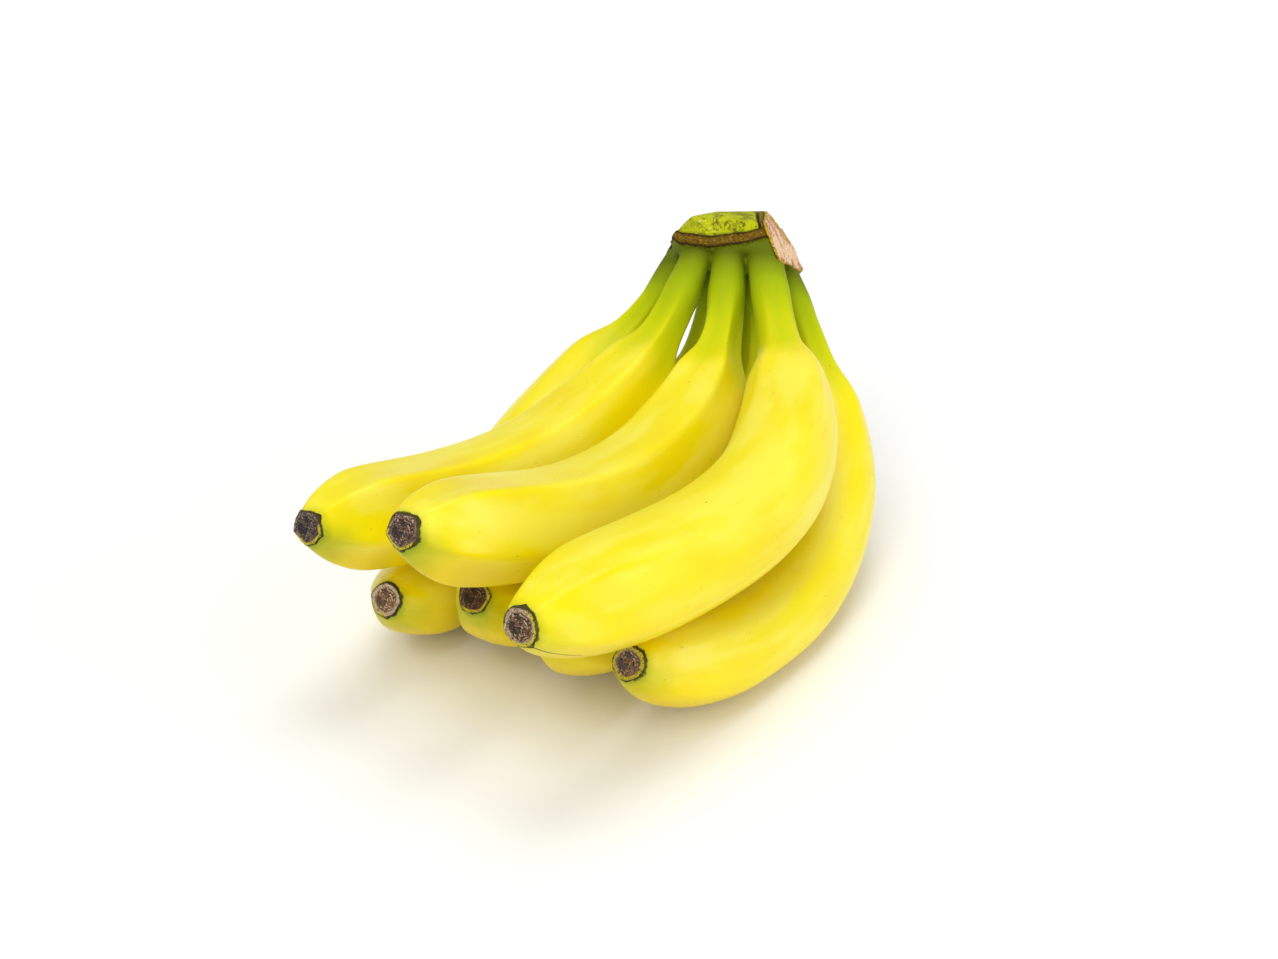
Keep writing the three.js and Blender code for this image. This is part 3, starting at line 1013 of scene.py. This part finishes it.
def crown_finish():
    finish = Finish("crown_stalk_skin", Specular_IOR_Level=0.08, Subsurface_Weight=0.1,
                    Subsurface_Scale=0.003)
    skin, rough = skin_colour(finish, 0, 0)[:2]
    spot = finish.attribute("stalk_place")
    x, y, z = spot.parts()
    height, under_end, under_back = finish.attribute("stalk_marks").parts()
    fleck = finish.noise(spot, 0.9 * MM, 3, 0.65)
    dust = finish.noise(spot.stretched(1, 1, 0.7), 0.6 * MM, 2)
    fibre = finish.noise(spot.stretched(1, 1, 0.14), 0.6 * MM, 3, 0.6)
    ragged = (fleck - 0.5) * (1.3 * MM)

    # Painted shade: the skin turns dark green deep in the grooves between the necks
    groove_shade = finish.attribute("stalk_groove_shade").parts()[0]
    colour = finish.mix(skin, GROOVE_SHADE_GREEN, groove_shade * 0.75)
    face = face_colour(finish, spot, height, fleck, dust)
    colour = finish.mix(colour, face, height.rise(SCAR_HALF - 0.6 * MM, SCAR_HALF + 0.4 * MM))
    aside = x - CRACK_FOOT - z * CRACK_SLANT
    olive = finish.mix(STRIP_OLIVE, FLECK_BROWN, dust.rise(0.42, 0.56))
    strip = (aside + ragged).rise(0, 0.5 * MM) * height.rise(-1 * MM, 1 * MM)
    colour = finish.mix(colour, olive, strip)

    inside = (height + ragged).size().rise(1.8 * MM, 0.9 * MM)
    cork_mask = cork_share(height, y, ragged)
    colour = finish.mix(colour, cork_colour(finish, spot, inside, fleck), cork_mask)
    crack = (aside + ragged * 0.6).size().rise(0.75 * MM, 0.3 * MM)
    above = height.rise(SCAR_HALF, SCAR_HALF + 0.5 * MM)
    colour = finish.mix(colour, CRACK_AND_SHADE_BROWN, crack * above * y.rise(4 * MM, -2 * MM))

    nearest = under_end.least(under_back) + ragged * 0.6
    colour = finish.mix(colour, CORK_DARK, nearest.rise(1.7 * MM, 1.2 * MM) * 0.85)
    rim = finish.mix(RIM_YELLOW, CUT_BROWN, dust.rise(0.45, 0.6) * 0.7)
    colour = finish.mix(colour, rim, nearest.rise(1.2 * MM, 0.8 * MM))
    cut_mask = nearest.rise(0.6 * MM, 0.25 * MM)
    colour = finish.mix(colour, flesh_colour(finish, spot, fibre), cut_mask)

    rough = rough + cork_mask * 0.25 + cut_mask * 0.2
    grain = fleck * 0.5 + dust * 0.5
    relief = finish.bump(grain * (0.15 + cork_mask * 1.0) + fibre * cut_mask * 0.8, 0.5 * MM, 0.6)
    return finish.set(Base_Color=colour, Roughness=rough, Normal=relief)


crown_piece.data.materials.clear()
crown_piece.data.materials.append(crown_finish())
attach(crown_piece, "root")
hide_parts("crown")
print("nodes in the crown's finish:", len(crown_piece.active_material.node_tree.nodes))

# %% [markdown]
# ## The blossom ends
# The flower withered to a dry black button at the tip of each fruit: a ragged dark rim with pointed
# lobes that lie on the skin, and inside it rings of fibre round a dark centre. The CAD model has it
# as a plain end of the fruit. Here it is a piece of its own, so that its rim can overlap the skin. A
# profile spun round the fruit's axis gives the button, and the skirt outside its rim is then laid on
# the fruit: each of its points moves to the nearest place on the skin.

# %% Profile and lobes of the buttons
BUTTON_PROFILE = ((0, 0.1), (0.15, 0.35), (0.3, 0.1), (0.45, 0.45), (0.6, 0.2), (0.75, 0.6),
                  (0.86, 0.6), (0.94, 0.65), (1.0, 0.3))       # share of the radius, height in mm
SKIRT = ((1.02, 0.2), (1.04, 0.1), (1.06, -0.4))               # share of the radius, mm off the skin
LOBE_HALF = 0.5                 # half the width of a lobe at its foot, in radians
LOBE_POINT = 1.6                # above 1, a lobe's sides curve in towards its point

# Each button's lobes, as degrees round the tip from the top towards the left, and reach in mm, and
# a turn of its noise, so that no two buttons are alike
BUTTONS = {
    "lower_banana_1": dict(lobes=((-15, 0.8), (-90, 0.7), (190, 1.6)), turn=0.3),
    "lower_banana_2": dict(lobes=((50, 1.4), (185, 0.8), (280, 0.6)), turn=1.1),
    "lower_banana_3": dict(lobes=((20, 1.0), (150, 1.2), (260, 1.0)), turn=2.2),
    "lower_banana_4": dict(lobes=((60, 0.5), (130, 0.7), (190, 0.8), (330, 0.6)), turn=3.1),
    "upper_banana_1": dict(lobes=((52, 1.0), (-35, 0.9), (-95, 0.6), (220, 0.7)), turn=4.2),
    "upper_banana_2": dict(lobes=((62, 1.5), (-42, 1.2), (165, 0.8)), turn=5.3),
    "upper_banana_3": dict(lobes=((85, 2.4), (0, 1.3), (215, 2.0)), turn=6.4),
}


def lobe_reach(lobes, angle):
    """How far the rim reaches out at an angle: nothing between the lobes, most at their points."""
    reach = 0
    for degrees, most in lobes:
        off = abs((angle - math.radians(degrees) + math.pi) % (2 * math.pi) - math.pi)
        reach += most * max(0, 1 - off / LOBE_HALF) ** LOBE_POINT
    return reach * MM


print("lobes:", sum(len(look["lobes"]) for look in BUTTONS.values()))

# %% [markdown]
# The profile is sampled finely, spun all the way round and closed underneath, inside the fruit. Its
# points keep how far out they were on the profile, for the finish to colour rim and rings by.

# %% Spin a button
PROFILE_POINTS = 30
BUTTON_STEPS = 72
BUTTON_DEPTH = 3 * MM
FOOT_SHARE = 0.8                # width of the hidden foot, as a share of the radius
BUTTON_WELD = 0.005 * MM


def button_outline():
    """The profile's points: share of the radius and height, from the axis to the skirt's edge."""
    shares, heights = zip(*(BUTTON_PROFILE + SKIRT))
    steps = [k / (PROFILE_POINTS - 1) for k in range(PROFILE_POINTS)]
    return [(smooth_through(shares, t), smooth_through(heights, t) * MM) for t in steps]


def spun_profile(radius):
    """The profile spun round Z, and the layer that holds each point's share of the radius."""
    mesh = bmesh.new()
    share_layer = mesh.verts.layers.float.new("share")
    line = []
    for share, height in button_outline():
        line.append(mesh.verts.new((0, share * radius, height)))
        line[-1][share_layer] = share
    line.append(mesh.verts.new((0, FOOT_SHARE * radius, -BUTTON_DEPTH)))
    line.append(mesh.verts.new((0, 0, -BUTTON_DEPTH)))
    edges = [mesh.edges.new(pair) for pair in zip(line, line[1:])]
    bmesh.ops.spin(mesh, geom=line + edges, cent=(0, 0, 0), axis=(0, 0, 1), angle=2 * math.pi,
                   steps=BUTTON_STEPS, use_merge=True)
    bmesh.ops.remove_doubles(mesh, verts=mesh.verts, dist=BUTTON_WELD)
    return mesh, share_layer

# %% [markdown]
# A withered flower is never round. Its rim follows the ridges of the fruit, wavers a little, and
# grows out into the lobes. Last, everything outside the rim is laid on the fruit's skin.

# %% Make the seven buttons
HIDDEN_BELOW = -1 * MM          # points further down are the hidden foot
HIDDEN_SHARE = 1.2              # what the foot tells the finish: outside the rim
LOBE_STARTS = (0.88, 1.05)
RIM_WAVER, WAVER_RATE = 0.06, 2.1
LUMP_HEIGHT, LUMP_SIZE = 0.4 * MM, 1 * MM
LOBE_OUT, LOBE_DOWN = 0.55, 0.8         # how much of its reach a lobe goes out, and down the fruit


def tip_frame(node):
    """The frame of a button: X to the side, Y upwards, Z out of the tip, leaned as the tip is."""
    tip, lean = stations(node, STATIONS)[-1], FRUITS[node]["lean"]
    facing = (tip.along + tip.side * lean[0] + tip.up * lean[1]).normalized()
    level = (tip.side - facing * tip.side.dot(facing)).normalized()
    turned = Matrix((level, level.cross(facing), facing)).transposed().to_4x4()
    turned.translation = tip.place
    return turned


def withered(node, spot, share, radius):
    """Moves a point of the round button to where it is on the withered one."""
    look, fruit = BUTTONS[node], FRUITS[node]
    flat = Vector((spot.x, spot.y)) / radius
    angle = math.atan2(spot.x, spot.y)
    reach = lobe_reach(look["lobes"], angle) * smoothstep(*LOBE_STARTS, share)
    lumps = noise.noise(Vector((spot.x, spot.y, look["turn"] * 10 * MM)) / LUMP_SIZE)
    waver = noise.noise(Vector((flat.x, flat.y, look["turn"])) * WAVER_RATE) * RIM_WAVER
    ridged = pentagon(angle - math.radians(fruit["turn"])) - PENTAGON_MEAN
    waver += fruit["ends"] * TIP_KEEPS * ridged
    grown = share * radius * (1 + waver * share) + reach * LOBE_OUT
    moved = Vector((flat.x, flat.y, 0)).normalized() * grown
    moved.z = spot.z + lumps * LUMP_HEIGHT - reach * LOBE_DOWN
    return moved


def button_piece(node):
    radius = stations(node, STATIONS)[-1].radius * CAGE_SHRINK
    to_tip = tip_frame(node)
    skin = BVHTree.FromObject(fruits[node], bpy.context.evaluated_depsgraph_get())
    mesh, share_layer = spun_profile(radius)
    place_layer = mesh.verts.layers.float_vector.new("button_place")
    for vert in mesh.verts:
        share, height = vert[share_layer], vert.co.z
        shows = height > HIDDEN_BELOW
        across, upward = vert.co.x / radius, vert.co.y / radius
        vert[place_layer] = Vector((across, upward, share if shows else HIDDEN_SHARE))
        if shows and share > 0:
            vert.co = withered(node, vert.co, share, radius)
        vert.co = to_tip @ vert.co
        if shows and share > 1:
            near, normal = skin.find_nearest(vert.co)[:2]
            vert.co = near + normal * height
    return new_piece(node + "_button", mesh)


buttons = {node: button_piece(node) for node in BANANA_NODES}
for node, button in buttons.items():
    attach(button, "root")
    print(button.name, len(button.data.vertices), "points")

# %% [markdown]
# The buttons differ: some are bleached and show their rings, others are dark all through. Each one
# has three colours of its own, and some keep a lip of yellow skin between the disc and the dark
# outline. The rings come from a sine of the share of the radius, bent by noise, because growth rings
# wander and break.

# %% Button finish
RIM_BLACK = paint(60, 50, 20)
RIM_GREEN = paint(84, 86, 26)
LIP_YELLOW = paint(206, 190, 26)
RING_RATE = 34                  # radians of the sine over the radius, for between five and six rings
# Flesh, pale fibre and dark colours; how pale the outer ring is; the lip's side in degrees, as the
# lobes are given, and how much of the way round it reaches, from 0 to 1
BUTTON_COLOURS = {
    "lower_banana_1": (paint(146, 110, 78), paint(232, 212, 184), paint(84, 60, 42), 0.6, 150, 0.1),
    "lower_banana_2": (paint(84, 56, 32), paint(150, 120, 84), paint(40, 28, 20), 0.1, 235, 0.45),
    "lower_banana_3": (paint(112, 84, 56), paint(160, 132, 100), paint(60, 46, 34), 0.3, 180, 0.2),
    "lower_banana_4": (paint(132, 100, 74), paint(206, 182, 156), paint(72, 62, 58), 0.1, 180, 1.0),
    "upper_banana_1": (paint(78, 66, 60), paint(168, 138, 112), paint(28, 28, 34), 0.05, 215, 0.4),
    "upper_banana_2": (paint(94, 70, 54), paint(190, 160, 132), paint(34, 30, 32), 0.1, 175, 0.3),
    "upper_banana_3": (paint(104, 70, 44), paint(212, 188, 154), paint(46, 32, 24), 0.5, 250, 0.4),
}


def lip_share_here(across, upward, edge, curl, side, lip_share):
    """1 on the lip of yellow skin, which shows on one side of the disc only."""
    turn = math.radians(side)
    toward = across * math.sin(turn) + upward * math.cos(turn)
    low = 1 - 2 * lip_share - 0.25
    start = 0.85 - 0.1 * lip_share
    return (toward + (curl - 0.5) * 0.7).rise(low, low + 0.3) * edge.rise(start, start + 0.04)


def button_finish(name, flesh, pale, dark, ring, side, lip_share):
    finish = Finish(name, Specular_IOR_Level=0.3)
    place = finish.attribute("button_place")
    across, upward, share = place.parts()
    speck = finish.noise(place.stretched(1, 1, 0.5), 0.11, 3, 0.7)
    curl = finish.noise(place.stretched(1, 1, 0.3), 0.34, 3, 0.6)
    patch = finish.noise(place.stretched(1, 1, 0.2), 0.55, 2)

    # The disc: fibres in broken rings, a paler outer ring, a dark middle, and dark and pale specks
    fibre = ((share + (curl - 0.5) * 0.75 + (patch - 0.5) * 0.3) * RING_RATE).wave()
    colour = finish.mix(flesh, pale, fibre.rise(0.5, 0.9) * patch.rise(0.36, 0.54) * 0.9)
    outer = (share + (curl - 0.5) * 0.3).rise(0.66, 0.78) * speck.rise(0.3, 0.5)
    colour = finish.mix(colour, pale, outer * ring)
    middle = (curl + patch * 0.5).rise(0.76, 0.86) * share.rise(0.8, 0.6)
    colour = finish.mix(colour, dark, middle * 0.85)
    colour = finish.mix(colour, dark, speck.rise(0.52, 0.6) * 0.85)
    colour = finish.mix(colour, pale, speck.rise(0.4, 0.33) * 0.45)

    # The dark outline, green in places, and the lip inside it
    edge = share + (speck - 0.5) * 0.06
    black = finish.mix(RIM_BLACK, RIM_GREEN, patch.rise(0.42, 0.6) * share.rise(0.9, 1.05))
    colour = finish.mix(colour, black, edge.rise(0.91, 0.95))
    lip = lip_share_here(across, upward, edge, curl, side, lip_share)
    colour = finish.mix(colour, LIP_YELLOW, lip * edge.rise(0.98, 0.95) * speck.rise(0.62, 0.5) * 0.9)
    relief = finish.bump(fibre * 0.5 + speck + curl, 0.4 * MM, 0.8)
    return finish.set(Base_Color=colour, Roughness=0.7 + speck * 0.2, Normal=relief)


for node, button in buttons.items():
    button.data.materials.append(button_finish(node + "_button_skin", *BUTTON_COLOURS[node]))
print("buttons:", len(buttons))

# %% [markdown]
# ## Floor and light
# The bunch lies on a plain white floor. Soft boxes all round would need to be placed and sized. A sun
# with a wide angle gives the same soft shadow edge everywhere, so four of them stand in for the
# boxes, and an even white world fills what they leave dark.

# %% Floor and light
FLOOR_HALF = 3
FLOOR_WHITE = (0.9, 0.9, 0.9, 1)
WORLD_STRENGTH = 0.48
# Name, the direction it shines from, how wide it looks in degrees, and its strength
SOFT_BOXES = (("top", (0.1, 0.25, 1), 34, 0.9), ("key", (-0.3, -0.45, 1), 34, 0.8),
              ("side", (1, -0.35, 0.3), 34, 0.88), ("front", (-0.35, -1, 0.6), 50, 0.82))


def turned_to(direction):
    """The rotation of a light or a camera that looks along a direction, upright."""
    return direction.to_track_quat("-Z", "Y").to_euler()


def soft_light(name, side, spread, strength):
    """A sun. Only its direction counts, and it stands on its own side to be easy to find."""
    lamp = bpy.data.lights.new(name, "SUN")
    lamp.angle, lamp.energy = math.radians(spread), strength
    light = bpy.data.objects.new(name, lamp)
    light.location = side
    light.rotation_euler = turned_to(-Vector(side))
    bpy.context.scene.collection.objects.link(light)


floor_mesh = bmesh.new()
bmesh.ops.create_grid(floor_mesh, x_segments=1, y_segments=1, size=FLOOR_HALF)
floor = new_piece("floor", floor_mesh)
floor.data.materials.append(Finish("floor_white").set(Base_Color=FLOOR_WHITE, Roughness=0.9))

for box in SOFT_BOXES:
    soft_light(*box)

world = bpy.data.worlds.new("studio")
world.use_nodes = True
world.node_tree.nodes["Background"].inputs["Color"].default_value = (1, 1, 1, 1)
world.node_tree.nodes["Background"].inputs["Strength"].default_value = WORLD_STRENGTH
bpy.context.scene.world = world
bpy.context.scene.view_settings.view_transform = "Standard"
print("soft lights:", len(SOFT_BOXES))

# %% [markdown]
# ## Camera
# The camera looks down a little, from in front of the blossom ends. A long lens at some distance
# keeps near and far fruits at nearly the same scale. It has no depth of field, so all is sharp.

# %% Camera
TARGET = Vector((10.56, 31.11, 33.5)) * MM
ELEVATION = math.radians(28)
DISTANCE = 0.75
LENS = 63.06                    # focal length, in millimetres of film
CLIP_START = 0.01

camera = bpy.data.objects.new("camera", bpy.data.cameras.new("camera"))
camera.data.lens = LENS
camera.data.clip_start = CLIP_START
away = Vector((0, -math.cos(ELEVATION), math.sin(ELEVATION)))
camera.location = TARGET + away * DISTANCE
camera.rotation_euler = turned_to(-away)
bpy.context.scene.collection.objects.link(camera)
bpy.context.scene.camera = camera
print("camera at", [round(c, 3) for c in camera.location])
